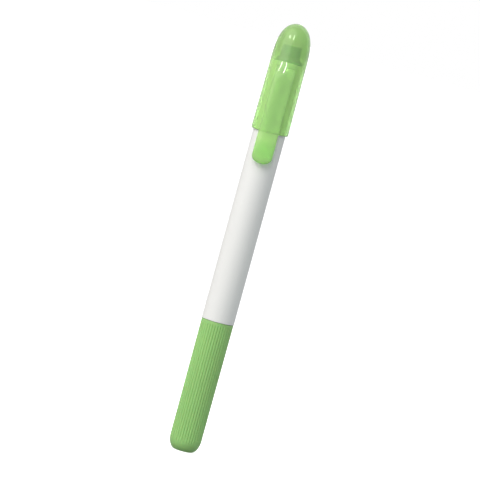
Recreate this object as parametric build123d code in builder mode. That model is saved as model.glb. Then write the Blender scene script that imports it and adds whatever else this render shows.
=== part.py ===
"""Twist-up gel highlighter: ribbed twist grip, white barrel, see-through cap with a flat clip.

The pen stands on the flat end of its grip. The origin is the centre of that flat end, +Z runs along the
pen towards the cap, and the clip faces -Y. Turning the grip by +Z turns a left-hand lead screw, which
lifts the keyed push rod, the gel cup and the gel stick.
"""

import os
from math import cos, pi, radians, sin, sqrt

from build123d import *

os.makedirs("parts", exist_ok=True)

# ---------------------------------------------------------------- driving dimensions (mm)
length = 138.0  # flat end of the grip to the top of the cap
run_gap = 0.05  # radial clearance of parts that turn or slide in each other

# ribbed twist grip
grip_top_z = 42.0
grip_end_r = 5.0  # outer radius just above the rounded end
grip_mouth_r = 5.1
grip_foot_r = 2.5  # flat that the pen stands on
grip_round_h = 4.2  # height of the rounded end
grip_floor = 1.8
rib_count = 36
rib_groove_r = 0.26  # radius of each groove between two ribs
rib_groove_out = 0.06  # how far a groove's centre lies outside the grip's surface
rib_bottom_z = 2.4
rib_top_z = grip_top_z - 0.7

# barrel
barrel_r = 5.2
barrel_bottom_z = grip_top_z + 0.1
cap_rim_z = 103.3
shoulder_z = cap_rim_z - 0.03
spigot_r = 4.9
spigot_top_z = 125.6
tail_r = 4.0
tail_bottom_z = 14.0
snap_z = 18.0  # snap bead that keeps the grip on the tail
snap_rise = 0.25
snap_half = 0.8
cap_bead_z = 107.0  # cap's retaining bead and the spigot groove below it
cap_bead_rise = 0.05

# slotted guide sleeve
sleeve_r = 3.3
sleeve_bore_r = 2.6
sleeve_top_z = 76.0
sleeve_flange_r = 3.9
sleeve_flange_h = 0.9
slot_width = 1.3
slot_bottom_z = 26.0

# lead screw
screw_lead = 3.0
screw_core_r = 1.15
screw_crest_r = 1.6
screw_thread_bottom_z = 26.0
screw_thread_turns = 15.5
screw_crest_w = 0.7
screw_root_w = 1.1
journal_r = sleeve_bore_r - run_gap
journal_top_z = 23.5
socket_side = 3.0
socket_bottom_z = 2.8
boss_r = 3.0
boss_top_z = 11.0
thrust_flange_r = 2.9
thrust_flange_h = 1.2
ring_z = 18.0
ring_section_r = 0.38
ring_groove_r = 1.8

# push rod
nut_bottom_z = 27.0
nut_h = 7.0
nut_r = 2.5
rod_bore_r = screw_crest_r + 0.15
stem_r = 2.3
stem_top_z = 80.0
stem_bore_top_z = 77.0
key_width = 1.1
key_r = 3.2
lug_inner_r = screw_core_r + 0.12
lug_width = 1.2
lug_h = 1.0
stud_r = 1.3
stud_h = 4.0
stud_bead_r = 1.5
stud_bead_h = 0.8

# gel cup, gel stick and nozzle
cup_r = 2.5
cup_h = 11.0
cup_floor = 4.6
cup_bore_r = 2.05
gel_r = 2.5
gel_nose_r = 1.5  # flat at the gel stick's tip, inside its rounded edge
gel_nose_h = 0.9
gel_tip_z = 129.4
nozzle_bore_r = 2.6
nozzle_tube_r = 3.04
nozzle_mouth_z = 131.0
collar_r = 4.28
collar_top_z = 126.3
cone_top_z = 127.3
nozzle_root_r = 4.0
nozzle_root_z = 117.2

# cap and clip
cap_rim_r = 5.92
cap_crown_r = 5.73  # radius where the straight taper ends
cap_crown_z = 122.0
cap_bore_r = 5.0
cap_wall_top = 0.9
clip_half_w = 3.2
clip_tip_z = 93.4
clip_face_y = -7.6
clip_thick = 1.15
clip_gap_y = clip_face_y + clip_thick
clip_crown_half_w = 2.4
clip_crown_drop = 0.15
clip_edge_drop = 0.75  # how far the clip's long edges lie behind its crowned middle
clip_edge_round = 0.35  # radius that softens those edges
clip_end_rise = 2.2  # how far the clip's end corners lie above its tip
clip_root_z = 124.2  # top of the gap behind the clip
gap_lean_h = 2.8  # height over which the gap narrows behind the shoulder
gap_top_y = -5.6  # back of the clip at the top of the gap
clip_root_top_z = 128.5  # where the clip's shoulder leaves the cap's crown
clip_shoulder_h = 8.0  # height over which the shoulder comes forward to the clip's face
clip_shoulder_r = 7.85  # radius at the foot of the shoulder, just clear of the clip's front edges
clip_shoulder_ease = 0.45  # share of that height over which each end of the shoulder levels out
clip_root_bury = 0.23  # how far the shoulder starts inside the crown
clip_tip_round_h = 1.3  # rounded front corner at the clip's tip
clip_tip_round_w = 0.9
nub_z = 97.0  # gentle bump that presses on the barrel
nub_half_h = 3.2
nub_play = 0.15


def dome_points(radius, bottom_z, top_z, steps=6):
    """Points of a full, squarish dome, from its widest radius up to the axis."""
    points = []
    for step in range(steps + 1):
        angle = pi / 2 * step / steps
        points.append((radius * cos(angle), bottom_z + (top_z - bottom_z) * sqrt(sin(angle))))
    return points


def finish(builder, name):
    """Label a finished piece and write it."""
    builder.part.label = name
    export_step(builder.part, f"parts/{name}.step")


# ---------------------------------------------------------------- twist grip
with BuildPart() as twist_grip:
    with BuildSketch(Plane.XZ) as grip_profile:
        with BuildLine():
            foot = Line((0, 0), (grip_foot_r, 0))
            rounding = EllipticalCenterArc(
                (grip_foot_r, grip_round_h),
                grip_end_r - grip_foot_r,
                grip_round_h,
                start_angle=270,
                arc_size=90,
            )
            Polyline(
                rounding @ 1,
                (grip_mouth_r, grip_top_z - 0.15),
                (grip_mouth_r - 0.15, grip_top_z),
                (tail_r + run_gap, grip_top_z),
                (tail_r + run_gap, snap_z + snap_half + snap_rise),
                (tail_r + snap_rise + run_gap, snap_z + snap_half),
                (tail_r + snap_rise + run_gap, snap_z - snap_half),
                (tail_r + run_gap, snap_z - snap_half - snap_rise),
                (tail_r + run_gap, boss_top_z),
                (tail_r - 0.3, grip_floor + 1.2),
                (tail_r - 0.6, grip_floor),
                (boss_r, grip_floor),
                (boss_r, boss_top_z),
                (0, boss_top_z),
                (0, 0),
            )
        make_face()
    revolve(axis=Axis.Z)
    # square socket for the lead screw's foot
    with BuildSketch(Plane.XY.offset(socket_bottom_z)):
        Rectangle(socket_side, socket_side)
    extrude(amount=boss_top_z - socket_bottom_z, mode=Mode.SUBTRACT)
    # grooves between the ribs: each is a slim rod that leans with the grip's taper
    lean = (grip_mouth_r - grip_end_r) / (grip_top_z - grip_round_h)
    groove_base_r = grip_mouth_r - lean * (grip_top_z - rib_bottom_z) + rib_groove_out
    for rib in range(rib_count):
        turn = radians(360 * rib / rib_count)
        base = (groove_base_r * cos(turn), groove_base_r * sin(turn), rib_bottom_z)
        rise = (lean * cos(turn), lean * sin(turn), 1)
        with BuildSketch(Plane(origin=base, z_dir=rise)):
            Circle(rib_groove_r)
        extrude(amount=rib_top_z - rib_bottom_z, mode=Mode.SUBTRACT)
finish(twist_grip, "twist_grip")

# ---------------------------------------------------------------- barrel
with BuildPart() as barrel:
    with BuildSketch(Plane.XZ):
        with BuildLine():
            Polyline(
                (sleeve_r, tail_bottom_z),
                (tail_r, tail_bottom_z),
                (tail_r, snap_z - snap_half - snap_rise + run_gap),
                (tail_r + snap_rise, snap_z - snap_half + run_gap),
                (tail_r + snap_rise, snap_z + snap_half - run_gap),
                (tail_r, snap_z + snap_half + snap_rise - run_gap),
                (tail_r, barrel_bottom_z),
                (barrel_r - 0.12, barrel_bottom_z),
                (barrel_r, barrel_bottom_z + 0.12),
                (barrel_r, shoulder_z - 0.05),
                (barrel_r - 0.05, shoulder_z),
                (spigot_r, shoulder_z),
                (spigot_r, cap_bead_z - 0.7),
                (spigot_r - 0.1, cap_bead_z - 0.4),
                (spigot_r - 0.1, cap_bead_z + 0.4),
                (spigot_r, cap_bead_z + 0.7),
                (spigot_r, spigot_top_z - 0.25),
                (spigot_r - 0.25, spigot_top_z),
                (nozzle_root_r, spigot_top_z),
                (nozzle_root_r, nozzle_root_z),
                (sleeve_r + 0.3, nozzle_root_z),
                (sleeve_r + 0.3, sleeve_top_z),
                (sleeve_r, sleeve_top_z),
                close=True,
            )
        make_face()
    revolve(axis=Axis.Z)
finish(barrel, "barrel")

# ---------------------------------------------------------------- nozzle
with BuildPart() as nozzle:
    with BuildSketch(Plane.XZ):
        with BuildLine():
            Polyline(
                (nozzle_root_r - 0.4, nozzle_root_z),
                (nozzle_root_r, nozzle_root_z),
                (nozzle_root_r, spigot_top_z),
                (collar_r, spigot_top_z),
                (collar_r, collar_top_z - 0.3),
                (collar_r - 0.3, collar_top_z),
                (nozzle_tube_r, cone_top_z),
                (nozzle_tube_r, nozzle_mouth_z - 0.2),
                (nozzle_tube_r - 0.15, nozzle_mouth_z),
                (nozzle_bore_r, nozzle_mouth_z),
                (nozzle_bore_r, nozzle_root_z + 2.0),
                close=True,
            )
        make_face()
    revolve(axis=Axis.Z)
finish(nozzle, "nozzle")

# ---------------------------------------------------------------- guide sleeve
with BuildPart() as guide_sleeve:
    with BuildSketch(Plane.XY.offset(tail_bottom_z)):
        Circle(sleeve_r)
        Circle(sleeve_bore_r, mode=Mode.SUBTRACT)
    extrude(amount=sleeve_top_z - tail_bottom_z)
    with BuildSketch(Plane.XY.offset(tail_bottom_z)):
        Circle(sleeve_flange_r)
        Circle(sleeve_bore_r, mode=Mode.SUBTRACT)
    extrude(amount=-sleeve_flange_h)
    # two slots, open at the top, for the push rod's keys
    with BuildSketch(Plane.XY.offset(slot_bottom_z)):
        Rectangle(2 * sleeve_flange_r, slot_width)
    extrude(amount=sleeve_top_z - slot_bottom_z, mode=Mode.SUBTRACT)
finish(guide_sleeve, "guide_sleeve")

# ---------------------------------------------------------------- lead screw
thread_h = screw_lead * screw_thread_turns
screw_top_z = screw_thread_bottom_z + thread_h + 2.0
with BuildPart() as lead_screw:
    with BuildSketch(Plane.XY.offset(socket_bottom_z)):
        Rectangle(socket_side, socket_side)
    extrude(amount=boss_top_z - socket_bottom_z)
    with BuildSketch(Plane.XZ):
        with BuildLine():
            Polyline(
                (0, boss_top_z),
                (thrust_flange_r, boss_top_z),
                (thrust_flange_r, boss_top_z + thrust_flange_h),
                (journal_r, boss_top_z + thrust_flange_h),
                (journal_r, ring_z - ring_section_r - 0.1),
                (ring_groove_r, ring_z - ring_section_r - 0.1),
                (ring_groove_r, ring_z + ring_section_r + 0.1),
                (journal_r, ring_z + ring_section_r + 0.1),
                (journal_r, journal_top_z - 0.3),
                (journal_r - 0.3, journal_top_z),
                (screw_core_r, journal_top_z),
                (screw_core_r, screw_top_z - 0.4),
                (screw_core_r - 0.4, screw_top_z),
                (0, screw_top_z),
                close=True,
            )
        make_face()
    revolve(axis=Axis.Z)
    # one left-hand ridge, rooted a little inside the core
    with BuildLine():
        Helix(
            screw_lead, thread_h, screw_core_r, center=(0, 0, screw_thread_bottom_z), lefthand=True
        )
    with BuildSketch(Plane((0, 0, screw_thread_bottom_z), x_dir=(1, 0, 0), z_dir=(0, -1, 0))):
        with BuildLine():
            Polyline(
                (screw_core_r - 0.15, -screw_root_w / 2),
                (screw_core_r, -screw_root_w / 2),
                (screw_crest_r, -screw_crest_w / 2),
                (screw_crest_r, screw_crest_w / 2),
                (screw_core_r, screw_root_w / 2),
                (screw_core_r - 0.15, screw_root_w / 2),
                close=True,
            )
        make_face()
    sweep(is_frenet=True)
finish(lead_screw, "lead_screw")

# ---------------------------------------------------------------- friction ring
with BuildPart() as friction_ring:
    ring_centre_r = ring_groove_r + 0.01 + ring_section_r
    with BuildSketch(Plane.XZ):
        with Locations((ring_centre_r, ring_z)):
            Circle(ring_section_r)
    revolve(axis=Axis.Z)
finish(friction_ring, "friction_ring")

# ---------------------------------------------------------------- push rod
with BuildPart() as push_rod:
    with BuildSketch(Plane.XY.offset(nut_bottom_z)):
        Circle(nut_r)
    extrude(amount=nut_h)
    # keys that run in the guide sleeve's slots
    with BuildSketch(Plane.XY.offset(nut_bottom_z)):
        Circle(key_r)
        Rectangle(2 * key_r, key_width, mode=Mode.INTERSECT)
    extrude(amount=nut_h)
    with BuildSketch(Plane.XY.offset(nut_bottom_z)):
        Circle(stem_r)
    extrude(amount=stem_top_z - nut_bottom_z)
    with BuildSketch(Plane.XY.offset(nut_bottom_z)):
        Circle(rod_bore_r)
    extrude(amount=stem_bore_top_z - nut_bottom_z, mode=Mode.SUBTRACT)
    # two feed lugs, half a turn and half a lead apart, in the screw's groove
    for side in (1, -1):
        # height of the groove's middle on this side of the left-hand ridge
        quarter = screw_lead / 4
        lug_z = screw_thread_bottom_z + 1.5 * screw_lead - side * quarter
        with BuildSketch(Plane.XY.offset(lug_z - lug_h / 2)):
            with Locations((0, side * (lug_inner_r + nut_r - 0.3) / 2)):
                Rectangle(lug_width, nut_r - 0.3 - lug_inner_r)
        extrude(amount=lug_h)
    # snap stud for the gel cup
    with BuildSketch(Plane.XY.offset(stem_top_z)):
        Circle(stud_r)
    extrude(amount=stud_h)
    with BuildSketch(Plane.XY.offset(stem_top_z + (stud_h - stud_bead_h) / 2)):
        Circle(stud_bead_r)
    extrude(amount=stud_bead_h)
finish(push_rod, "push_rod")

# ---------------------------------------------------------------- gel cup
cup_top_z = stem_top_z + cup_h
with BuildPart() as gel_cup:
    with BuildSketch(Plane.XZ):
        with BuildLine():
            bead_low_z = stem_top_z + (stud_h - stud_bead_h) / 2
            bead_high_z = bead_low_z + stud_bead_h
            Polyline(
                (stud_r, stem_top_z),
                (cup_r - 0.2, stem_top_z),
                (cup_r, stem_top_z + 0.2),
                (cup_r, cup_top_z),
                (cup_bore_r, cup_top_z),
                (cup_bore_r, stem_top_z + cup_floor),
                (0, stem_top_z + cup_floor),
                (0, stem_top_z + stud_h),
                (stud_r, stem_top_z + stud_h),
                (stud_r, bead_high_z),
                (stud_bead_r, bead_high_z),
                (stud_bead_r, bead_low_z),
                (stud_r, bead_low_z),
                close=True,
            )
        make_face()
    revolve(axis=Axis.Z)
finish(gel_cup, "gel_cup")

# ---------------------------------------------------------------- gel stick
with BuildPart() as gel_stick:
    with BuildSketch(Plane.XZ):
        with BuildLine():
            Polyline(
                (0, gel_tip_z),
                (0, stem_top_z + cup_floor),
                (cup_bore_r, stem_top_z + cup_floor),
                (cup_bore_r, cup_top_z),
                (gel_r, cup_top_z),
                (gel_r, gel_tip_z - gel_nose_h),
            )
            EllipticalCenterArc(
                (gel_nose_r, gel_tip_z - gel_nose_h),
                gel_r - gel_nose_r,
                gel_nose_h,
                start_angle=0,
                arc_size=90,
            )
            Line((gel_nose_r, gel_tip_z), (0, gel_tip_z))
        make_face()
    revolve(axis=Axis.Z)
finish(gel_stick, "gel_stick")

# ---------------------------------------------------------------- clip, moulded with the cap
clip_corner_z = clip_tip_z + clip_end_rise
nub_y = -(barrel_r + nub_play)
with BuildPart() as clip_bar:
    # side view
    with BuildSketch(Plane.YZ.offset(-clip_half_w)):
        with BuildLine():
            Line((clip_face_y, clip_root_top_z), (clip_face_y, clip_tip_z + clip_tip_round_h))
            ThreePointArc(
                (clip_face_y, clip_tip_z + clip_tip_round_h),
                (clip_face_y + 0.25, clip_tip_z + 0.4),
                (clip_face_y + clip_tip_round_w, clip_tip_z),
            )
            Polyline(
                (clip_face_y + clip_tip_round_w, clip_tip_z),
                (clip_gap_y, clip_tip_z + 0.1),
                (clip_gap_y, nub_z - nub_half_h),
            )
            ThreePointArc(
                (clip_gap_y, nub_z - nub_half_h),
                (nub_y, nub_z),
                (clip_gap_y, nub_z + nub_half_h),
            )
            gap_lean = Bezier(
                (clip_gap_y, clip_root_z - gap_lean_h),
                (clip_gap_y, clip_root_z - gap_lean_h / 2),
                (gap_top_y, clip_root_z),
            )
            Line((clip_gap_y, nub_z + nub_half_h), gap_lean @ 0)
            Polyline(
                gap_lean @ 1,
                (-cap_bore_r, clip_root_z),
                (-cap_bore_r, clip_root_top_z),
                (clip_face_y, clip_root_top_z),
            )
        make_face()
    extrude(amount=2 * clip_half_w)
    # shoulder, turned about the pen's axis so that it runs evenly into the crown
    with BuildSketch(Plane.XZ):
        with BuildLine():
            shoulder_top_r = cap_crown_r - clip_root_bury
            shoulder_ease_h = clip_shoulder_ease * clip_shoulder_h
            shoulder = Bezier(
                (clip_shoulder_r, clip_root_top_z - clip_shoulder_h),
                (clip_shoulder_r, clip_root_top_z - clip_shoulder_h + shoulder_ease_h),
                (shoulder_top_r, clip_root_top_z - shoulder_ease_h),
                (shoulder_top_r, clip_root_top_z),
            )
            Polyline(
                shoulder @ 1,
                (0, clip_root_top_z),
                (0, clip_tip_z - 1),
                (clip_shoulder_r, clip_tip_z - 1),
                shoulder @ 0,
            )
        make_face()
    revolve(axis=Axis.Z, mode=Mode.INTERSECT)
    # crowned front with sloping, rounded long edges
    with BuildSketch(Plane.XY.offset(clip_tip_z - 1)) as crown_section:
        with BuildLine():
            crown = ThreePointArc(
                (-clip_crown_half_w, clip_face_y + clip_crown_drop),
                (0, clip_face_y),
                (clip_crown_half_w, clip_face_y + clip_crown_drop),
            )
            Polyline(
                crown @ 1,
                (clip_half_w, clip_face_y + clip_edge_drop),
                (clip_half_w, 0),
                (-clip_half_w, 0),
                (-clip_half_w, clip_face_y + clip_edge_drop),
                crown @ 0,
            )
        make_face()
        fillet(crown_section.vertices().sort_by(Axis.Y)[:4], clip_edge_round)
    extrude(amount=length - clip_tip_z, mode=Mode.INTERSECT)
    # rounded lower end, seen from the front
    with BuildSketch(Plane.XZ):
        with BuildLine():
            EllipticalCenterArc(
                (0, clip_corner_z), clip_half_w, clip_end_rise, start_angle=180, arc_size=180
            )
            Polyline(
                (clip_half_w, clip_corner_z),
                (clip_half_w, length),
                (-clip_half_w, length),
                (-clip_half_w, clip_corner_z),
            )
        make_face()
    extrude(amount=1.5 * abs(clip_face_y), mode=Mode.INTERSECT)

# ---------------------------------------------------------------- cap
with BuildPart() as cap:
    with BuildSketch(Plane.XZ):
        with BuildLine():
            Polyline(
                (0, length),
                (0, cap_rim_z),
                (cap_rim_r - 0.15, cap_rim_z),
                (cap_rim_r, cap_rim_z + 0.15),
                (cap_crown_r, cap_crown_z),
            )
            Spline(
                dome_points(cap_crown_r, cap_crown_z, length),
                tangents=((0, 1), (-1, 0)),
            )
        make_face()
    revolve(axis=Axis.Z)
    add(clip_bar.part)
    # bore, a little under the outer shape, with a retaining bead
    with BuildSketch(Plane.XZ):
        with BuildLine():
            bore_dome = Spline(
                dome_points(cap_bore_r, cap_crown_z, length - cap_wall_top),
                tangents=((0, 1), (-1, 0)),
            )
            Polyline(
                bore_dome @ 1,
                (0, cap_rim_z - 1),
                (cap_bore_r, cap_rim_z - 1),
                (cap_bore_r, cap_bead_z - 0.6),
                (cap_bore_r - cap_bead_rise, cap_bead_z - 0.3),
                (cap_bore_r - cap_bead_rise, cap_bead_z + 0.3),
                (cap_bore_r, cap_bead_z + 0.6),
                bore_dome @ 0,
            )
        make_face()
    revolve(axis=Axis.Z, mode=Mode.SUBTRACT)
finish(cap, "cap")
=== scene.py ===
"""Looks of the twist-up gel highlighter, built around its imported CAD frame.

The pen stands on the flat end of its grip, +Z runs towards the cap and the clip faces -Y. Shapes are
worked out in millimetres and stored in metres. The cap with its clip, the barrel, the grip, the nozzle and
the gel stick are detailed pieces that replace their CAD nodes. The inner parts stay CAD nodes, with
materials of their own.
"""

import math

import bpy
import numpy as np
from mathutils import Matrix, Vector


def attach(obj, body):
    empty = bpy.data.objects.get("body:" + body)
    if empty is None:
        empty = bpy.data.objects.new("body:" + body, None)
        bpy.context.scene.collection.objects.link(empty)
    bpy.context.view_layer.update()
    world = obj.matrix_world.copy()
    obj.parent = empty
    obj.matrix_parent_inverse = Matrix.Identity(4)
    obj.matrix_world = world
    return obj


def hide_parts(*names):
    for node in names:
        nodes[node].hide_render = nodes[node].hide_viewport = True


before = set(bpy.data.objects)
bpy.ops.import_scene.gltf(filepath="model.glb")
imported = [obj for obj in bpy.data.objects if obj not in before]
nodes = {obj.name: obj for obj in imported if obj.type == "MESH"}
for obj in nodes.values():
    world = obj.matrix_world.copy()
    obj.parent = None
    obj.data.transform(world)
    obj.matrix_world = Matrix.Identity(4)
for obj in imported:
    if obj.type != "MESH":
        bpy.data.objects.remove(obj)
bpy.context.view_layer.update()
MM = 0.001

# ------------------------------------------------------------------ driving dimensions (mm)
RUN_GAP = 0.05  # radial clearance of parts that turn or slide in each other

# twist grip
GRIP_TOP_Z = 42.0
GRIP_ROUND_Z = 4.2  # top of the rounded end
GRIP_FOOT_R = 2.5
GRIP_END_R = 5.0
GRIP_MOUTH_R = 5.1
GRIP_FLOOR_Z = 1.8
BOSS_R = 3.0  # boss that holds the lead screw's foot
BOSS_TOP_Z = 11.0
SOCKET_R = 2.15
SOCKET_BOTTOM_Z = 2.8
RIBS = 36
GROOVE_DEPTH = 0.2
GROOVE_HALF_W = 0.27
GROOVE_BOTTOM_Z = 2.2
GROOVE_TOP_Z = 41.35
GROOVE_FADE_IN = 2.2  # height over which a groove reaches its full depth
GROOVE_FADE_OUT = 0.5

# barrel
BARREL_R = 5.2
BARREL_BOTTOM_Z = GRIP_TOP_Z + 0.1
TAIL_R = 4.0
TAIL_BOTTOM_Z = 14.0
SNAP_Z = 18.0  # snap bead that keeps the grip on the tail
SNAP_RISE = 0.25
SNAP_HALF = 0.8
SLEEVE_R = 3.3  # bore that the guide sleeve is pressed in
SLEEVE_TOP_Z = 76.0
CHAMBER_R = 3.6  # bore above the sleeve, and the nozzle's wide entry
SPIGOT_R = 4.9
SPIGOT_TOP_Z = 125.6
SPIGOT_GROOVE = 0.1  # depth of the groove that the cap's bead snaps in

# nozzle and gel stick
NOZZLE_ROOT_R = 4.0
NOZZLE_ROOT_Z = 117.2
COLLAR_R = 4.28
COLLAR_TOP_Z = 126.3
CONE_TOP_Z = 127.3
TUBE_R = 3.04
TUBE_BORE_R = 2.6
TUBE_BORE_Z = NOZZLE_ROOT_Z + 2.0  # where the entry has narrowed to the bore
MOUTH_Z = 131.0
GEL_R = 2.5
GEL_BOTTOM_Z = 84.6
GEL_TIP_Z = 129.4
CUP_BORE_R = 2.05
CUP_TOP_Z = 91.0

# cap
CAP_TOP_Z = 138.0
CAP_RIM_Z = 103.3
CAP_RIM_R = 5.92
CROWN_Z = 122.0  # where the straight wall turns into the dome
CROWN_R = 5.73
BORE_R = 5.0
BORE_TOP_Z = 137.1
BEAD_Z = 107.0  # retaining bead in the cap, level with the spigot's groove
BEAD_RISE = 0.05
RIM_ROUND = 0.35
BORE_ROUND = 0.12  # where the bore meets the rim

# clip
CLIP_HALF_W = 3.2
CLIP_FACE_Y = -7.6
CLIP_BACK_Y = -6.45
CLIP_TIP_Z = 93.4
CLIP_END_RISE = 2.2  # height of the clip's rounded end
CLIP_BEVEL_W = 0.85
CLIP_BACK_ROUND = 0.3
GAP_TOP_Z = 124.2  # top of the gap behind the clip
GAP_ROUND = 0.4
SHOULDER_Z = 120.5  # where the clip's face starts to fall back to the crown
SHOULDER_H = 8.0
SHOULDER_FALL = 2.1
NUB_Z = 97.0  # bump that presses on the barrel: part of a cylinder across the clip
NUB_R = 5.2
NUB_CENTRE_Y = -10.55
NUB_FILL = 0.9  # fillet between the bump and the clip's back


# ------------------------------------------------------------------ meshes
def new_piece(name, shape, material, body, node):
    """A smooth mesh piece from points in millimetres, riding on a body in place of a CAD node."""
    points, faces, normals = shape
    mesh = bpy.data.meshes.new(name)
    mesh.from_pydata((np.asarray(points) * MM).tolist(), [], faces)
    mesh.polygons.foreach_set("use_smooth", [True] * len(mesh.polygons))
    mesh.normals_split_custom_set_from_vertices(np.asarray(normals).tolist())
    mesh.update()
    mesh.materials.append(material)
    piece = bpy.data.objects.new(name, mesh)
    bpy.context.scene.collection.objects.link(piece)
    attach(piece, body)
    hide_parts(node)


def rounded(corners, closed, steps=5):
    """Outline points and outward normals from (radius, height, rounding) corners, outer side going up."""
    points = []
    normals = []
    count = len(corners)
    for index, (radius, height, rounding) in enumerate(corners):
        here = np.array((radius, height))
        if not closed and index in (0, count - 1):
            points.append(here)
            normals.append(np.array((0.0, -1.0 if index == 0 else 1.0)))
            continue
        before = np.array(corners[index - 1][:2]) - here
        after = np.array(corners[(index + 1) % count][:2]) - here
        room = 0.45 * min(np.linalg.norm(before), np.linalg.norm(after))
        before = before / np.linalg.norm(before)
        after = after / np.linalg.norm(after)
        half_turn = (math.pi - math.acos(np.clip(before @ after, -1, 1))) / 2
        reach = min(rounding * math.tan(half_turn), room)
        start_normal = np.array((-before[1], before[0]))
        end_normal = np.array((after[1], -after[0]))
        for step in range(steps + 1):
            share = step / steps
            curve = (1 - share) ** 2 * before + share**2 * after
            normal = (1 - share) * start_normal + share * end_normal
            points.append(here + reach * curve)
            normals.append(normal / np.linalg.norm(normal))
    return np.array(points), np.array(normals)


def turned_mesh(points, normals, closed):
    """Points, faces and normals of rings round the axis; an open outline has a pole at each end."""
    along, around = points.shape[:2]
    faces = []
    for row in range(along if closed else along - 1):
        above = (row + 1) % along
        for step in range(around):
            ahead = (step + 1) % around
            low = (row * around + step, row * around + ahead)
            high = (above * around + ahead, above * around + step)
            faces.append(low + high)
    points = points.reshape(-1, 3)
    normals = normals.reshape(-1, 3)
    if closed:
        return points, faces, normals
    # the rings at both ends lie on the axis: their quads become fans round one pole point each
    first = 0
    last = (along - 1) * around
    poles = dict.fromkeys(range(around), first)
    poles.update(dict.fromkeys(range(last, last + around), last))
    faces = [tuple(dict.fromkeys(poles.get(corner, corner) for corner in face)) for face in faces]
    used = np.array(sorted({corner for face in faces for corner in face}))
    fresh = np.full(len(points), -1)
    fresh[used] = np.arange(len(used))
    faces = [tuple(int(fresh[corner]) for corner in face) for face in faces]
    return points[used], faces, normals[used]


def lathe(outline, closed=True, around=144):
    """Points, faces and normals of an outline turned about the Z axis."""
    profile, profile_normals = outline
    turn = np.arange(around) * (2 * math.pi / around)
    spin = np.stack((np.cos(turn), np.sin(turn)), axis=1)
    points = np.empty((len(profile), around, 3))
    points[:, :, :2] = profile[:, 0, None, None] * spin
    points[:, :, 2] = profile[:, 1, None]
    normals = np.empty_like(points)
    normals[:, :, :2] = profile_normals[:, 0, None, None] * spin
    normals[:, :, 2] = profile_normals[:, 1, None]
    return turned_mesh(points, normals, closed)


# ------------------------------------------------------------------ node helpers
def new_material(name, **settings):
    """A material with a Principled shader whose constant sockets are set by name."""
    material = bpy.data.materials.new(name)
    material.use_nodes = True
    shader = material.node_tree.nodes["Principled BSDF"]
    for socket, value in settings.items():
        shader.inputs[socket.replace("_", " ")].default_value = value
    return material, material.node_tree, shader


def place(tree):
    """Object coordinates in millimetres."""
    coordinates = tree.nodes.new("ShaderNodeTexCoord")
    scale = tree.nodes.new("ShaderNodeVectorMath")
    scale.operation = "SCALE"
    scale.inputs["Scale"].default_value = 1 / MM
    tree.links.new(coordinates.outputs["Object"], scale.inputs[0])
    return scale.outputs["Vector"]


def split_place(tree, where):
    """The X, Y and Z sockets of a place."""
    split = tree.nodes.new("ShaderNodeSeparateXYZ")
    tree.links.new(where, split.inputs["Vector"])
    return split.outputs["X"], split.outputs["Y"], split.outputs["Z"]


def axis_distance(tree, where):
    """Distance of a place from the Z axis."""
    flat = tree.nodes.new("ShaderNodeVectorMath")
    flat.operation = "MULTIPLY"
    flat.inputs[1].default_value = (1, 1, 0)
    tree.links.new(where, flat.inputs[0])
    length = tree.nodes.new("ShaderNodeVectorMath")
    length.operation = "LENGTH"
    tree.links.new(flat.outputs["Vector"], length.inputs[0])
    return length.outputs["Value"]


def noise(tree, where, scale, detail, roughness=0.5, stretch=None):
    """Noise with its scale in features per millimetre; stretch squeezes it along the axes."""
    if stretch is not None:
        mapping = tree.nodes.new("ShaderNodeMapping")
        mapping.inputs["Scale"].default_value = stretch
        tree.links.new(where, mapping.inputs["Vector"])
        where = mapping.outputs["Vector"]
    texture = tree.nodes.new("ShaderNodeTexNoise")
    texture.inputs["Scale"].default_value = scale
    texture.inputs["Detail"].default_value = detail
    texture.inputs["Roughness"].default_value = roughness
    tree.links.new(where, texture.inputs["Vector"])
    return texture.outputs["Fac"]


def ramp(tree, factor, low, high, low_at=0.0, high_at=1.0):
    """A colour that runs from low to high as the factor runs from low_at to high_at."""
    node = tree.nodes.new("ShaderNodeValToRGB")
    node.color_ramp.elements[0].position = low_at
    node.color_ramp.elements[1].position = high_at
    node.color_ramp.elements[0].color = (*low, 1)
    node.color_ramp.elements[1].color = (*high, 1)
    tree.links.new(factor, node.inputs["Fac"])
    return node.outputs["Color"]


def span(tree, factor, low, high, from_low, from_high):
    """A number that runs from low to high as the factor runs from from_low to from_high."""
    node = tree.nodes.new("ShaderNodeMapRange")
    node.inputs["From Min"].default_value = from_low
    node.inputs["From Max"].default_value = from_high
    node.inputs["To Min"].default_value = low
    node.inputs["To Max"].default_value = high
    tree.links.new(factor, node.inputs["Value"])
    return node.outputs["Result"]


def maths(tree, operation, first, second=None):
    """One Math node; each input is a socket or a number."""
    node = tree.nodes.new("ShaderNodeMath")
    node.operation = operation
    for socket, value in zip(node.inputs, (first, second)):
        if value is None:
            continue
        if isinstance(value, (int, float)):
            socket.default_value = value
        else:
            tree.links.new(value, socket)
    return node.outputs["Value"]


def product(tree, first, *others):
    """Several sockets or numbers multiplied together."""
    for other in others:
        first = maths(tree, "MULTIPLY", first, other)
    return first


def mixed(tree, factor, first, second, blend="MIX"):
    """One colour mixed over another; each input is a socket, a number or a colour."""
    node = tree.nodes.new("ShaderNodeMix")
    node.data_type = "RGBA"
    node.blend_type = blend
    factor_socket, first_socket, second_socket = node.inputs[0], node.inputs[6], node.inputs[7]
    for socket, value in ((factor_socket, factor), (first_socket, first), (second_socket, second)):
        if isinstance(value, (int, float)):
            socket.default_value = value
        elif isinstance(value, tuple):
            socket.default_value = (*value, 1)
        else:
            tree.links.new(value, socket)
    return node.outputs[2]


def shaded(colour, share):
    """A colour with each channel multiplied by a share."""
    return tuple(share * channel for channel in colour)


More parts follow.
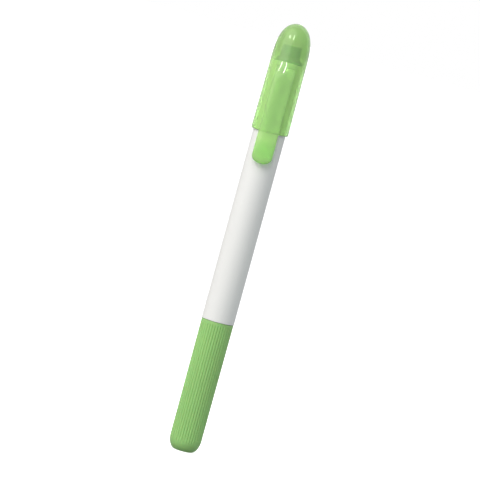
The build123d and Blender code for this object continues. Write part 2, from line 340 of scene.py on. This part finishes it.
def bump(tree, shader, height, depth):
    """Fine relief of the given depth in millimetres."""
    node = tree.nodes.new("ShaderNodeBump")
    node.inputs["Distance"].default_value = depth * MM
    tree.links.new(height, node.inputs["Height"])
    tree.links.new(node.outputs["Normal"], shader.inputs["Normal"])


# ------------------------------------------------------------------ materials
def moulded(name, colour, roughness, shade, peel_depth, **settings):
    """Plain moulded plastic: cloudy colour, flow lines along the pen, fine orange peel and dust."""
    material, tree, shader = new_material(name, **settings)
    where = place(tree)
    cloud = noise(tree, where, 0.12, 4.0, 0.55, (1, 1, 0.35))
    base = ramp(tree, cloud, shaded(colour, shade), colour, 0.32, 0.62)
    dust = noise(tree, where, 3.2, 2.0, 0.6)
    dust_mask = span(tree, dust, 0.0, 0.5, 0.70, 0.76)
    base = mixed(tree, dust_mask, base, shaded(colour, 0.7))
    tree.links.new(base, shader.inputs["Base Color"])
    streak = noise(tree, where, 0.9, 3.0, 0.5, (1, 1, 0.06))
    gloss = span(tree, streak, roughness - 0.06, roughness + 0.07, 0.3, 0.7)
    tree.links.new(gloss, shader.inputs["Roughness"])
    bump(tree, shader, noise(tree, where, 1.6, 2.0), peel_depth)
    return material


def barrel_material():
    """Opaque white plastic with a satin gloss, painted whiter where the cap covers it: painted light that
    makes up for the light the cap holds back.
    """
    material = moulded(
        "barrel_white", (0.875, 0.872, 0.855), 0.34, shade=0.985, peel_depth=0.01, IOR=1.5
    )
    tree = material.node_tree
    base = tree.nodes["Principled BSDF"].inputs["Base Color"]
    height = split_place(tree, place(tree))[2]
    # painted light: the colour turns whiter under the cap, to brighten the barrel seen through it
    under_cap_brightening = span(tree, height, 0.0, 0.6, CAP_RIM_Z - 0.1, CAP_RIM_Z + 0.2)
    handled = base.links[0].from_socket
    tree.links.new(mixed(tree, under_cap_brightening, handled, (0.97, 0.97, 0.96)), base)
    return material


def grip_material():
    """Satin green plastic, with painted shade and dust darkening the bottom of its grooves."""
    green = (0.345, 0.655, 0.21)
    groove_shade_dust_dark = (0.17, 0.30, 0.06)
    material, tree, shader = new_material(
        "grip_green", IOR=1.47, Subsurface_Weight=0.08, Subsurface_Scale=0.002
    )
    where = place(tree)
    height = split_place(tree, where)[2]
    # how deep a point lies below the ribs' tapered surface, where the grip is ribbed
    surface = span(tree, height, GRIP_END_R, GRIP_MOUTH_R, GRIP_ROUND_Z, GRIP_TOP_Z)
    sunk = maths(tree, "SUBTRACT", surface, axis_distance(tree, where))
    ribbed = span(tree, height, 0.0, 1.0, GRIP_ROUND_Z, GRIP_ROUND_Z + 0.6)
    groove = product(tree, span(tree, sunk, 0.0, 1.0, 0.4 * GROOVE_DEPTH, GROOVE_DEPTH), ribbed)
    cloud = noise(tree, where, 0.15, 4.0, 0.55, (1, 1, 0.4))
    colour = ramp(tree, cloud, shaded(green, 0.93), green, 0.35, 0.62)
    lint = noise(tree, where, 2.4, 3.0, 0.6)
    groove_shade_and_dust = ramp(tree, lint, groove_shade_dust_dark, shaded(groove_shade_dust_dark, 1.6), 0.4, 0.7)
    # painted shade and dust: the colour darkens towards the bottom of each groove
    colour = mixed(tree, product(tree, groove, 0.18), colour, groove_shade_and_dust)
    tree.links.new(colour, shader.inputs["Base Color"])
    rub = noise(tree, where, 0.7, 3.0, 0.5, (1, 1, 0.1))
    worn = span(tree, rub, 0.40, 0.52, 0.35, 0.65)
    gloss = maths(tree, "ADD", worn, product(tree, groove, 0.12))
    tree.links.new(gloss, shader.inputs["Roughness"])
    bump(tree, shader, noise(tree, where, 5.0, 2.0), 0.012)
    return material


def gel_material():
    """Waxy, slightly translucent fluorescent green, with a faint painted glow that stands in for its
    fluorescence.
    """
    # painted light: a faint green glow of its own, standing in for the gel's fluorescence
    material, tree, shader = new_material(
        "gel_green", IOR=1.42, Subsurface_Weight=0.35, Subsurface_Scale=0.002, Emission_Strength=0.12
    )
    shader.inputs["Emission Color"].default_value = (0.25, 0.9, 0.08, 1)
    where = place(tree)
    wax = noise(tree, where, 0.8, 5.0, 0.6)
    colour = ramp(tree, wax, (0.30, 0.80, 0.10), (0.42, 0.95, 0.18), 0.35, 0.65)
    tree.links.new(colour, shader.inputs["Base Color"])
    tree.links.new(span(tree, wax, 0.36, 0.55, 0.3, 0.7), shader.inputs["Roughness"])
    bump(tree, shader, noise(tree, where, 2.2, 4.0, 0.6, (1, 1, 0.5)), 0.06)
    return material


def beside_gap(tree, where):
    """A mask of the surfaces round the gap: the clip's back and the cap's wall behind it."""
    across, forward, height = split_place(tree, where)
    masks = (
        span(tree, forward, 1.0, 0.0, -4.6, -4.0),
        span(tree, forward, 0.0, 1.0, CLIP_BACK_Y - 0.15, CLIP_BACK_Y - 0.05),
        span(tree, maths(tree, "ABSOLUTE", across), 1.0, 0.0, CLIP_HALF_W - 0.2, CLIP_HALF_W - 0.05),
        span(tree, height, 0.0, 1.0, CAP_RIM_Z + 0.1, CAP_RIM_Z + 0.7),
        span(tree, height, 1.0, 0.0, CROWN_Z - 1, CROWN_Z + 2),
    )
    return product(tree, *masks)


def cap_material():
    """See-through green styrene, with faint flow lines and handling scuffs."""
    material, tree, shader = new_material("cap_green", IOR=1.5, Transmission_Weight=0.75)
    where = place(tree)
    flow = noise(tree, where, 0.25, 4.0, 0.55, (1, 1, 0.2))
    dome_tint = ramp(tree, flow, (0.67, 0.87, 0.45), (0.71, 0.89, 0.48), 0.35, 0.65)
    wall_tint = ramp(tree, flow, (0.78, 0.985, 0.53), (0.82, 0.995, 0.56), 0.35, 0.65)
    # painted light: the wall below the crown is tinted paler than the dome, to brighten the barrel seen
    # through it
    height = split_place(tree, where)[2]
    tint = mixed(tree, span(tree, height, 0.0, 1.0, CROWN_Z + 2, CROWN_Z + 7), wall_tint, dome_tint)
    # painted light: the surfaces round the gap are tinted clearer, to brighten the barrel seen through
    # clip and wall
    tint = mixed(tree, beside_gap(tree, where), tint, (0.86, 1.0, 0.68))
    tree.links.new(tint, shader.inputs["Base Color"])
    scuff = noise(tree, where, 1.1, 5.0, 0.65, (1, 1, 0.25))
    tree.links.new(span(tree, scuff, 0.06, 0.14, 0.4, 0.75), shader.inputs["Roughness"])
    bump(tree, shader, noise(tree, where, 0.5, 2.0), 0.006)
    depth = tree.nodes.new("ShaderNodeVolumeAbsorption")
    depth.inputs["Color"].default_value = (0.38, 0.91, 0.16, 1)
    depth.inputs["Density"].default_value = 300
    tree.links.new(depth.outputs["Volume"], tree.nodes["Material Output"].inputs["Volume"])
    return material


def nozzle_material():
    """Deep green satin plastic."""
    return moulded("nozzle_green", (0.05, 0.39, 0.05), 0.38, shade=0.88, peel_depth=0.012, IOR=1.49)


def milky_material():
    """Milky polypropylene of the guide sleeve and the gel cup."""
    return moulded(
        "milky_plastic",
        (0.80, 0.80, 0.76),
        0.42,
        shade=0.93,
        peel_depth=0.02,
        IOR=1.49,
        Subsurface_Weight=0.3,
        Subsurface_Scale=0.002,
    )


def acetal_material():
    """Acetal of the lead screw and the push rod."""
    return moulded(
        "acetal_plastic",
        (0.83, 0.83, 0.80),
        0.33,
        shade=0.95,
        peel_depth=0.015,
        IOR=1.48,
        Subsurface_Weight=0.2,
        Subsurface_Scale=0.001,
    )


def silicone_material():
    """Silicone of the friction ring."""
    return moulded(
        "silicone",
        (0.72, 0.72, 0.68),
        0.6,
        shade=0.9,
        peel_depth=0.02,
        IOR=1.41,
        Subsurface_Weight=0.2,
    )


# ------------------------------------------------------------------ barrel, nozzle and gel stick
STEP_Z = CAP_RIM_Z - 0.03  # step that the cap's rim sits on
BARREL = [
    (SLEEVE_R, TAIL_BOTTOM_Z, 0.1),
    (TAIL_R, TAIL_BOTTOM_Z, 0.12),
    (TAIL_R, SNAP_Z - SNAP_HALF - SNAP_RISE + RUN_GAP, 0.1),
    (TAIL_R + SNAP_RISE, SNAP_Z - SNAP_HALF + RUN_GAP, 0.1),
    (TAIL_R + SNAP_RISE, SNAP_Z + SNAP_HALF - RUN_GAP, 0.1),
    (TAIL_R, SNAP_Z + SNAP_HALF + SNAP_RISE - RUN_GAP, 0.1),
    (TAIL_R, BARREL_BOTTOM_Z, 0.1),
    (BARREL_R, BARREL_BOTTOM_Z, 0.12),
    (BARREL_R, STEP_Z, 0.08),
    (SPIGOT_R, STEP_Z, 0.05),
    (SPIGOT_R, BEAD_Z - 0.7, 0.1),
    (SPIGOT_R - SPIGOT_GROOVE, BEAD_Z - 0.4, 0.1),
    (SPIGOT_R - SPIGOT_GROOVE, BEAD_Z + 0.4, 0.1),
    (SPIGOT_R, BEAD_Z + 0.7, 0.1),
    (SPIGOT_R, SPIGOT_TOP_Z, 0.3),
    (NOZZLE_ROOT_R, SPIGOT_TOP_Z, 0.05),
    (NOZZLE_ROOT_R, NOZZLE_ROOT_Z, 0.05),
    (CHAMBER_R, NOZZLE_ROOT_Z, 0.05),
    (CHAMBER_R, SLEEVE_TOP_Z, 0.05),
    (SLEEVE_R, SLEEVE_TOP_Z, 0.05),
]
barrel_shape = lathe(rounded(BARREL, closed=True))
new_piece("barrel_shell", barrel_shape, barrel_material(), "barrel_body", "barrel")

NOZZLE = [
    (CHAMBER_R, NOZZLE_ROOT_Z, 0.05),
    (NOZZLE_ROOT_R, NOZZLE_ROOT_Z, 0.05),
    (NOZZLE_ROOT_R, SPIGOT_TOP_Z, 0.02),
    (COLLAR_R, SPIGOT_TOP_Z, 0.06),
    (COLLAR_R, COLLAR_TOP_Z, 0.3),
    (TUBE_R, CONE_TOP_Z, 0.3),
    (TUBE_R, MOUTH_Z, 0.22),
    (TUBE_BORE_R, MOUTH_Z, 0.1),
    (TUBE_BORE_R, TUBE_BORE_Z, 0.1),
]
nozzle_shape = lathe(rounded(NOZZLE, closed=True))
new_piece("nozzle_tip", nozzle_shape, nozzle_material(), "barrel_body", "nozzle")

GEL = [
    (0.0, GEL_BOTTOM_Z, 0.0),
    (CUP_BORE_R, GEL_BOTTOM_Z, 0.05),
    (CUP_BORE_R, CUP_TOP_Z, 0.02),
    (GEL_R, CUP_TOP_Z, 0.02),
    (GEL_R, GEL_TIP_Z, 0.95),
    (0.0, GEL_TIP_Z, 0.0),
]
gel_shape = lathe(rounded(GEL, closed=False, steps=8), closed=False, around=96)
new_piece("gel_core", gel_shape, gel_material(), "gel_carrier", "gel_stick")

# ------------------------------------------------------------------ ribbed grip
GRIP_LIP_Z = GRIP_TOP_Z - 0.3  # above it the outside is rounded over to the mouth
GRIP_BORE_R = TAIL_R + RUN_GAP
GRIP_INSIDE = [
    (GRIP_BORE_R, GRIP_TOP_Z, 0.12),
    (GRIP_BORE_R, SNAP_Z + SNAP_HALF + SNAP_RISE, 0.1),
    (GRIP_BORE_R + SNAP_RISE, SNAP_Z + SNAP_HALF, 0.1),
    (GRIP_BORE_R + SNAP_RISE, SNAP_Z - SNAP_HALF, 0.1),
    (GRIP_BORE_R, SNAP_Z - SNAP_HALF - SNAP_RISE, 0.1),
    (GRIP_BORE_R, BOSS_TOP_Z, 0.1),
    (TAIL_R - 0.3, GRIP_FLOOR_Z + 1.2, 0.2),
    (TAIL_R - 0.6, GRIP_FLOOR_Z, 0.3),
    (BOSS_R, GRIP_FLOOR_Z, 0.1),
    (BOSS_R, BOSS_TOP_Z, 0.15),
    (SOCKET_R, BOSS_TOP_Z, 0.1),
    (SOCKET_R, SOCKET_BOTTOM_Z, 0.1),
    (0.0, SOCKET_BOTTOM_Z, 0.0),
]


def grip_outside():
    """The grip's outline from its foot up to the lip: a flat foot, a rounded end and a slight taper."""
    points = [(radius, 0.0) for radius in (0.0, 1.2, 2.3)]
    normals = [(0.0, -1.0)] * len(points)
    wide = GRIP_END_R - GRIP_FOOT_R
    for angle in np.radians(np.linspace(0, 90, 19)):
        side, low = math.sin(angle), math.cos(angle)
        points.append((GRIP_FOOT_R + wide * side, GRIP_ROUND_Z * (1 - low)))
        normal = np.array((side / wide, -low / GRIP_ROUND_Z))
        normals.append(normal / np.linalg.norm(normal))
    # rings up the taper, closer together where the grooves fade out
    body = np.linspace(GRIP_ROUND_Z + 0.6, GRIP_LIP_Z - 1.5, 44)
    mouth = np.linspace(GRIP_LIP_Z - 1.3, GRIP_LIP_Z, 9)
    for height in np.concatenate((body, mouth)):
        share = (height - GRIP_ROUND_Z) / (GRIP_TOP_Z - GRIP_ROUND_Z)
        points.append((GRIP_END_R + (GRIP_MOUTH_R - GRIP_END_R) * share, height))
        normals.append((1.0, 0.0))
    return points, normals


def grip_mesh():
    """The turned grip with a groove sunk between each two ribs."""
    points, normals = grip_outside()
    outside_count = len(points)
    corners = [(GRIP_MOUTH_R, GRIP_LIP_Z, 0.0), (GRIP_MOUTH_R, GRIP_TOP_Z, 0.17), *GRIP_INSIDE]
    inside, inside_normals = rounded(corners, closed=False)
    profile = np.array([*points, *inside[1:]])
    profile_normals = np.array([*normals, *inside_normals[1:]])

    # one groove and one rib crest in each pitch; the groove's depth runs as (1 - share^2)^2
    pitch = 2 * math.pi / RIBS
    half_angle = GROOVE_HALF_W / GRIP_MOUTH_R
    shares = np.array((-1, -0.78, -0.55, -0.32, -0.12, 0.12, 0.32, 0.55, 0.78, 1))
    offsets = np.append(shares * half_angle, pitch / 2)
    sunk = np.append((1 - shares**2) ** 2, 0.0)
    slope = np.append(-4 * shares * (1 - shares**2) / half_angle, 0.0)
    turn = (np.arange(RIBS)[:, None] * pitch + offsets[None, :]).ravel()
    sunk = np.tile(sunk, RIBS) * GROOVE_DEPTH
    slope = np.tile(slope, RIBS) * GROOVE_DEPTH

    # the grooves fade out at both ends and aren't cut inside
    height = profile[:, 1]
    fade_in = np.clip((height - GROOVE_BOTTOM_Z) / GROOVE_FADE_IN, 0, 1)
    fade_out = np.clip((GROOVE_TOP_Z - height) / GROOVE_FADE_OUT, 0, 1)
    fade = fade_in * fade_out
    fade = fade * fade * (3 - 2 * fade)
    fade[outside_count:] = 0

    spin = np.stack((np.cos(turn), np.sin(turn)), axis=1)
    across = np.stack((-np.sin(turn), np.cos(turn)), axis=1)
    radius = profile[:, 0, None] - fade[:, None] * sunk[None, :]
    rings = np.empty((len(profile), len(turn), 3))
    rings[:, :, :2] = radius[:, :, None] * spin
    rings[:, :, 2] = height[:, None]
    lean = fade[:, None] * slope[None, :] / np.maximum(radius, 0.5)
    ring_normals = np.empty_like(rings)
    outward = profile_normals[:, 0, None, None]
    ring_normals[:, :, :2] = outward * (spin + lean[:, :, None] * across)
    ring_normals[:, :, 2] = profile_normals[:, 1, None]
    ring_normals /= np.linalg.norm(ring_normals, axis=2, keepdims=True)
    return turned_mesh(rings, ring_normals, closed=False)


new_piece("ribbed_grip", grip_mesh(), grip_material(), "grip_body", "twist_grip")


# ------------------------------------------------------------------ cap with its clip
def soft_max(first, second, width):
    """The larger of two fields, with the corner between them rounded over the given width."""
    close = np.maximum(width - np.abs(first - second), 0) / width
    return np.maximum(first, second) + close * close * width / 4


def soft_min(first, second, width):
    """The smaller of two fields, with the corner between them filled over the given width."""
    return -soft_max(-first, -second, width)


def smooth(share):
    """A share held between 0 and 1 that starts and ends level."""
    share = np.clip(share, 0, 1)
    return share * share * (3 - 2 * share)


def domed(radial, z, wall_r, top_z):
    """Distance from a straight wall below CROWN_Z that closes in a full, squarish dome above it."""
    dome_h = top_z - CROWN_Z
    up = np.maximum(z - CROWN_Z, 0) / dome_h
    field = (radial / wall_r) ** 2 + up**4 - 1
    steep = np.sqrt((2 * radial / wall_r**2) ** 2 + (4 * up**3 / dome_h) ** 2)
    return field / np.maximum(steep, 0.05)


def clip_field(x, y, z):
    """Distance from the clip: a crowned bar whose face and back fall to the crown at its shoulder."""
    side = np.abs(x)
    lift = np.clip((z - SHOULDER_Z) / SHOULDER_H, 0, 1)
    fall = SHOULDER_FALL * (1 - np.cos(math.pi * lift)) / 2
    steep = SHOULDER_FALL * math.pi * np.sin(math.pi * lift) / (2 * SHOULDER_H)
    lean = np.sqrt(1 + steep**2)
    # crowned across, rounder at the shoulder, with bevelled edges
    crown = (0.026 + 0.06 * np.minimum(2.2 * lift, 1)) * side**2
    bevel = np.maximum(side - (CLIP_HALF_W - CLIP_BEVEL_W), 0) / CLIP_BEVEL_W
    crown += 0.5 * bevel**1.5
    front = (CLIP_FACE_Y + crown + fall - y) / lean
    # straight long edges and an elliptic end
    end_z = CLIP_TIP_Z + CLIP_END_RISE
    low = np.minimum(z - end_z, 0)
    ring = (side / CLIP_HALF_W) ** 2 + (low / CLIP_END_RISE) ** 2 - 1
    ring_steep = np.hypot(2 * side / CLIP_HALF_W**2, 2 * low / CLIP_END_RISE**2)
    edge = np.where(z < end_z, ring / np.maximum(ring_steep, 0.2), side - CLIP_HALF_W)
    # the gap behind it ends at its top, and the bump stands out into it
    gap = soft_max((CLIP_BACK_Y + fall - y) / lean, z - GAP_TOP_Z, GAP_ROUND)
    nub = np.hypot(y - NUB_CENTRE_Y, z - NUB_Z) - NUB_R
    back = soft_min(-gap, nub, NUB_FILL)
    edge_round = 0.3 + 0.7 * np.clip((end_z - z) / 2.0, 0, 1)
    clip = soft_max(soft_max(front, edge, edge_round), back, CLIP_BACK_ROUND)
    # it ends inside the cap, at the top of the shoulder
    return np.maximum(clip, np.maximum(y + 1.0, z - SHOULDER_Z - SHOULDER_H))


def cap_field(x, y, z):
    """Distance in millimetres from the surface of the cap and its clip, negative inside the plastic."""
    radial = np.hypot(x, y)
    taper = (CAP_RIM_R - CROWN_R) / (CROWN_Z - CAP_RIM_Z)
    wall = CROWN_R + taper * np.maximum(CROWN_Z - z, 0)
    shell = soft_max(domed(radial, z, wall, CAP_TOP_Z), CAP_RIM_Z - z, RIM_ROUND)
    # one moulding: the clip runs smoothly into the crown, and stays free below the gap's top
    join = 0.06 + 0.6 * smooth((z - GAP_TOP_Z) / 2.5)
    solid = soft_min(shell, clip_field(x, y, z), join)
    bead = BEAD_RISE * np.clip(1.6 - np.abs(z - BEAD_Z) / 0.37, 0, 1)
    bore = domed(radial, z, BORE_R - bead, BORE_TOP_Z)
    return soft_max(solid, -bore, BORE_ROUND)


def gradient(points, reach=0.004):
    """Slope of the cap's field at each point."""
    slopes = []
    for axis in range(3):
        step = np.zeros(3)
        step[axis] = reach
        ahead = cap_field(*(points + step).T)
        behind = cap_field(*(points - step).T)
        slopes.append((ahead - behind) / (2 * reach))
    return np.stack(slopes, axis=1)


def stations(*spans):
    """Grid values in order, from spans of (start, end, step)."""
    return np.concatenate([np.arange(*values) for values in spans])


def cap_grid():
    """Grid nodes round the axis, finer where the clip, the rim, the shoulder and the dome need it."""
    # turned so that the finely divided angles face the clip
    turn = np.radians(stations((-40, 40, 1.25), (40, 320, 2.5)) - 90)
    radial = stations((0, 4.4, 0.4), (4.4, 8.6, 0.15))
    z = stations(
        (93.0, 98.8, 0.16),
        (98.8, 102.9, 0.4),
        (102.9, 103.9, 0.08),
        (103.9, 119.0, 0.4),
        (119.0, 131.0, 0.15),
        (131.0, 138.5, 0.12),
    )
    return np.meshgrid(turn, radial, z, indexing="ij")


CORNERS = [(a, b, c) for a in (0, 1) for b in (0, 1) for c in (0, 1)]
EDGES = [
    (first, second)
    for first in range(8)
    for second in range(first + 1, 8)
    if sum(abs(p - q) for p, q in zip(CORNERS[first], CORNERS[second])) == 1
]
# the four cells round a grid edge, for edges that run round the axis, outwards and upwards
LOOPS = (
    ((0, -1, -1), (0, 0, -1), (0, 0, 0), (0, -1, 0)),
    ((-1, 0, -1), (-1, 0, 0), (0, 0, 0), (0, 0, -1)),
    ((-1, -1, 0), (0, -1, 0), (0, 0, 0), (-1, 0, 0)),
)


def skin_points(grid, field):
    """One point in each grid cell that the surface crosses, and the number of each cell's point."""
    rounds, rows, layers = field.shape

    def corner(values, step):
        rolled = np.roll(values, -step[0], axis=0)
        return rolled[:, step[1] : rows - 1 + step[1], step[2] : layers - 1 + step[2]]

    inside = field < 0
    filled = sum(corner(inside, step).astype(np.int8) for step in CORNERS)
    cells = np.argwhere((filled > 0) & (filled < 8))
    numbers = np.full((rounds, rows - 1, layers - 1), -1)
    numbers[tuple(cells.T)] = np.arange(len(cells))
    values = np.stack([corner(field, step)[tuple(cells.T)] for step in CORNERS], axis=1)
    places = np.stack(
        [np.stack([corner(part, step)[tuple(cells.T)] for part in grid], axis=1) for step in CORNERS],
        axis=1,
    )
    total = np.zeros((len(cells), 3))
    hits = np.zeros(len(cells))
    for first, second in EDGES:
        low, high = values[:, first], values[:, second]
        crossed = (low < 0) != (high < 0)
        share = np.where(crossed, low / np.where(crossed, low - high, 1), 0)
        where = places[:, first] + share[:, None] * (places[:, second] - places[:, first])
        total += where * crossed[:, None]
        hits += crossed
    return total / hits[:, None], numbers


def skin_quads(inside, numbers):
    """One outward quad on each grid edge that the surface crosses."""
    rounds, rows, layers = inside.shape
    ahead = np.roll(inside, -1, axis=0)
    changes = (
        inside != ahead,
        inside[:, 1:] != inside[:, :-1],
        inside[:, :, 1:] != inside[:, :, :-1],
    )
    faces = []
    for changed, loop in zip(changes, LOOPS):
        starts = np.argwhere(changed)
        outward = inside[tuple(starts.T)]
        corners = []
        valid = np.ones(len(starts), bool)
        for step in loop:
            cell = starts + np.array(step)
            cell[:, 0] %= rounds
            good = (cell[:, 1:] >= 0).all(axis=1) & (cell[:, 1] < rows - 1) & (cell[:, 2] < layers - 1)
            valid &= good
            cell = np.where(good[:, None], cell, 0)
            corners.append(numbers[tuple(cell.T)])
        quads = np.stack(corners, axis=1)
        quads = np.where(outward[:, None], quads[:, ::-1], quads)
        faces += quads[valid].tolist()
    return faces


def skin(grid, field):
    """Points and faces where the field crosses zero, on a grid that closes round the axis."""
    inside = field < 0
    points, numbers = skin_points(grid, field)
    faces = skin_quads(inside, numbers)
    # close the pole with a fan at each layer where the axis itself crosses the surface
    rounds = len(inside)
    for layer in np.flatnonzero(inside[0, 0, 1:] != inside[0, 0, :-1]):
        ring = numbers[:, 0, layer]
        centre = len(points)
        points = np.vstack((points, points[ring].mean(axis=0)))
        upward = inside[0, 0, layer]
        for step in range(rounds):
            pair = (ring[step], ring[(step + 1) % rounds])
            faces.append((centre, *(pair if upward else pair[::-1])))
    return points, faces


def cap_mesh():
    """The cap's skin, drawn onto the exact surface, with its exact normals."""
    turn, radial, z = cap_grid()
    grid = (radial * np.cos(turn), radial * np.sin(turn), z)
    points, faces = skin(grid, cap_field(*grid))
    furthest = 0.12  # that a point moves in one pass
    for _ in range(6):
        slope = gradient(points)
        reach = np.clip(cap_field(*points.T), -furthest, furthest)
        points = points - (reach / (slope**2).sum(axis=1).clip(0.2))[:, None] * slope
    slope = gradient(points)
    normals = slope / np.linalg.norm(slope, axis=1, keepdims=True).clip(1e-9)
    return points, faces, normals


new_piece("clip_cap", cap_mesh(), cap_material(), "cap_body", "cap")

# ------------------------------------------------------------------ CAD nodes that stay
milky = milky_material()
acetal = acetal_material()
for node, material in (
    ("guide_sleeve", milky),
    ("gel_cup", milky),
    ("lead_screw", acetal),
    ("push_rod", acetal),
    ("friction_ring", silicone_material()),
):
    nodes[node].data.materials.clear()
    nodes[node].data.materials.append(material)


# ------------------------------------------------------------------ floor and studio light
def add_floor(half_size=6.0):
    """A plain pale floor that glows a little, so that it stays white to its edges."""
    corners = [(half_size * x, half_size * y, 0) for x, y in ((-1, -1), (1, -1), (1, 1), (-1, 1))]
    mesh = bpy.data.meshes.new("floor")
    mesh.from_pydata(corners, [], [(0, 1, 2, 3)])
    floor = bpy.data.objects.new("floor", mesh)
    bpy.context.scene.collection.objects.link(floor)
    material, _, shader = new_material(
        "floor_white", Roughness=1.0, Specular_IOR_Level=0.0, Emission_Strength=0.72
    )
    shader.inputs["Base Color"].default_value = (0.9, 0.9, 0.9, 1)
    shader.inputs["Emission Color"].default_value = (1, 1, 1, 1)
    mesh.materials.append(material)
    floor.visible_diffuse = False
    floor.visible_glossy = False


def add_studio():
    """Soft light from all round: weaker on the right in front, stronger behind, dim from below."""
    world = bpy.data.worlds.new("studio")
    bpy.context.scene.world = world
    world.use_nodes = True
    tree = world.node_tree
    coordinates = tree.nodes.new("ShaderNodeTexCoord")
    across, depth, height = split_place(tree, coordinates.outputs["Generated"])
    behind = span(tree, depth, 0.0, 1.0, -0.15, 0.45)
    right = span(tree, across, 0.0, 1.0, -0.5, 0.6)
    front_light = ramp(tree, right, (0.56, 0.56, 0.555), (0.38, 0.42, 0.43))
    back_light = ramp(tree, right, (0.62, 0.62, 0.62), (0.74, 0.75, 0.75))
    light = mixed(tree, behind, front_light, back_light)
    rising = span(tree, height, 0.35, 1.12, -0.8, 0.1)
    light = mixed(tree, 1.0, light, rising, "MULTIPLY")
    # the camera itself sees a white backdrop
    rays = tree.nodes.new("ShaderNodeLightPath")
    seen = mixed(tree, rays.outputs["Is Camera Ray"], light, (1.0, 1.0, 1.0))
    tree.links.new(seen, tree.nodes["Background"].inputs["Color"])


MIDDLE = Vector((0, 0, 0.07))
LAMP_FAR = 0.9
WARM = (1.0, 0.985, 0.96)


def add_lamp(name, azimuth, elevation, width, height, power, colour):
    """A rectangular area light aimed at the pen's middle; azimuth runs from the front to the left."""
    side, rise = math.radians(azimuth), math.radians(elevation)
    way = Vector((-math.sin(side) * math.cos(rise), -math.cos(side) * math.cos(rise), math.sin(rise)))
    light = bpy.data.lights.new(name, "AREA")
    light.shape = "RECTANGLE"
    light.size = width
    light.size_y = height
    light.energy = power
    light.color = colour
    lamp = bpy.data.objects.new(name, light)
    lamp.location = MIDDLE + LAMP_FAR * way
    lamp.rotation_mode = "QUATERNION"
    lamp.rotation_quaternion = (-way).to_track_quat("-Z", "Y")
    bpy.context.scene.collection.objects.link(lamp)


add_floor()
add_studio()
add_lamp("key_panel", azimuth=42, elevation=34, width=1.2, height=1.2, power=5.3, colour=WARM)
# two narrow strips, which the clip's shoulder mirrors as short highlights
for name, azimuth, colour in (("key_strip", 41, WARM), ("front_strip", 8, (1.0, 0.99, 0.98))):
    add_lamp(name, azimuth, elevation=40, width=0.06, height=0.22, power=1.15, colour=colour)


# ------------------------------------------------------------------ camera
def add_camera(target, distance, side, height, roll, lens):
    """A camera in front of the pen, moved round by side and up by height, then rolled (degrees)."""
    side, height, roll = math.radians(side), math.radians(height), math.radians(roll)
    camera = bpy.data.objects.new("camera", bpy.data.cameras.new("camera"))
    bpy.context.scene.collection.objects.link(camera)
    bpy.context.scene.camera = camera
    camera.data.lens = lens
    camera.data.sensor_width = 36
    camera.data.clip_start = 0.05
    camera.data.clip_end = 50
    level = math.cos(height)
    forward = Vector((-math.sin(side) * level, math.cos(side) * level, -math.sin(height)))
    level_right = Vector((math.cos(side), math.sin(side), 0))
    level_up = level_right.cross(forward)
    up = math.cos(roll) * level_up - math.sin(roll) * level_right
    right = math.cos(roll) * level_right + math.sin(roll) * level_up
    turned = Matrix((right, up, -forward)).transposed()
    camera.matrix_world = Matrix.Translation(target - distance * forward) @ turned.to_4x4()


TARGET = Vector((0, 0, 0.0684))
add_camera(TARGET, distance=1.2467, side=2.0, height=4.19, roll=15.3, lens=300)
bpy.context.scene.view_settings.view_transform = "Standard"
